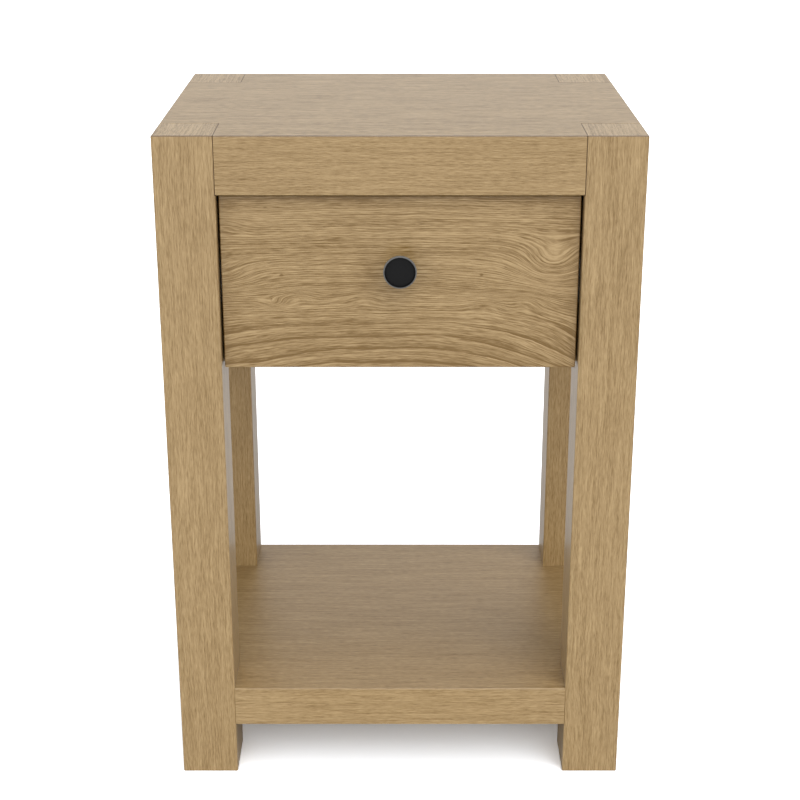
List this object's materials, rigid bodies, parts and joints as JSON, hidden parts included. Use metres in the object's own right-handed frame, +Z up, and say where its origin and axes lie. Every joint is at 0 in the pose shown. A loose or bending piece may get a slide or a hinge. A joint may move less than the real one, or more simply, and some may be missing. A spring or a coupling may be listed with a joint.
{
  "type": "nightstand",
  "caption": "Square-legged oak nightstand with a drawer on ball-bearing slides, a round knob and an open lower shelf.",
  "frame": {"origin": "on the floor, under the middle of the whole object's box, knob included", "axes": "+X to the right seen from the front, +Y from the front to the back, +Z up"},
  "size_m": [0.48, 0.366, 0.715],
  "materials": {
    "oak_veneer": "clear matt lacquer over oak veneer",
    "drawer_board": "pale lacquered plywood",
    "spruce_batten": "planed softwood",
    "beech_dowel": "bare beech",
    "black_knob": "matt black powder coat",
    "zinc_steel": "bright zinc plate",
    "bright_steel": "polished steel balls",
    "black_steel": "black phosphate screws"
  },
  "bodies": {
    "case": {"top_panel": "oak_veneer", "front_rail": "oak_veneer", "back_rail": "oak_veneer", "left_rail": "oak_veneer", "right_rail": "oak_veneer", "front_left_leg": "oak_veneer", "front_right_leg": "oak_veneer", "back_left_leg": "oak_veneer", "back_right_leg": "oak_veneer", "left_side_panel": "oak_veneer", "right_side_panel": "oak_veneer", "back_panel": "oak_veneer", "shelf_panel": "oak_veneer", "shelf_front_rail": "oak_veneer", "shelf_back_rail": "oak_veneer", "shelf_left_rail": "oak_veneer", "shelf_right_rail": "oak_veneer", "bottom_panel": "drawer_board", "left_runner_cleat": "spruce_batten", "right_runner_cleat": "spruce_batten", "rail_dowels": "beech_dowel", "panel_dowels": "beech_dowel", "cam_bolts": "zinc_steel", "cam_locks": "zinc_steel", "left_case_runner": "zinc_steel", "right_case_runner": "zinc_steel", "case_runner_screws": "zinc_steel", "cleat_screws": "black_steel"},
    "drawer": {"drawer_front": "oak_veneer", "drawer_box_front": "drawer_board", "drawer_left_side": "drawer_board", "drawer_right_side": "drawer_board", "drawer_back": "drawer_board", "drawer_bottom": "drawer_board", "drawer_front_screws": "black_steel", "drawer_box_screws": "black_steel", "drawer_runner_screws": "zinc_steel", "knob": "black_knob", "knob_screw": "zinc_steel", "left_drawer_runner": "zinc_steel", "right_drawer_runner": "zinc_steel"},
    "left_middle": {"left_middle_runner": "zinc_steel"},
    "right_middle": {"right_middle_runner": "zinc_steel"},
    "left_outer_ball_cage": {"left_outer_cage": "zinc_steel", "left_outer_balls": "bright_steel"},
    "right_outer_ball_cage": {"right_outer_cage": "zinc_steel", "right_outer_balls": "bright_steel"},
    "left_inner_ball_cage": {"left_inner_cage": "zinc_steel", "left_inner_balls": "bright_steel"},
    "right_inner_ball_cage": {"right_inner_cage": "zinc_steel", "right_inner_balls": "bright_steel"}
  },
  "joints": [
    {"name": "drawer_slide", "type": "slide", "parent": "case", "child": "drawer", "axis": [0, -1, 0], "range_m": [0, 0.25]},
    {"name": "left_middle_slide", "type": "slide", "parent": "case", "child": "left_middle", "axis": [0, -1, 0], "range_m": [0, 0.125]},
    {"name": "right_middle_slide", "type": "slide", "parent": "case", "child": "right_middle", "axis": [0, -1, 0], "range_m": [0, 0.125]},
    {"name": "left_outer_ball_cage_slide", "type": "slide", "parent": "case", "child": "left_outer_ball_cage", "axis": [0, -1, 0], "range_m": [0, 0.0625]},
    {"name": "right_outer_ball_cage_slide", "type": "slide", "parent": "case", "child": "right_outer_ball_cage", "axis": [0, -1, 0], "range_m": [0, 0.0625]},
    {"name": "left_inner_ball_cage_slide", "type": "slide", "parent": "case", "child": "left_inner_ball_cage", "axis": [0, -1, 0], "range_m": [0, 0.1875]},
    {"name": "right_inner_ball_cage_slide", "type": "slide", "parent": "case", "child": "right_inner_ball_cage", "axis": [0, -1, 0], "range_m": [0, 0.1875]}
  ],
  "couplings": [
    {"joint": "left_middle_slide", "follows": "drawer_slide", "ratio": 0.5},
    {"joint": "right_middle_slide", "follows": "drawer_slide", "ratio": 0.5},
    {"joint": "left_outer_ball_cage_slide", "follows": "drawer_slide", "ratio": 0.25},
    {"joint": "right_outer_ball_cage_slide", "follows": "drawer_slide", "ratio": 0.25},
    {"joint": "left_inner_ball_cage_slide", "follows": "drawer_slide", "ratio": 0.75},
    {"joint": "right_inner_ball_cage_slide", "follows": "drawer_slide", "ratio": 0.75}
  ]
}
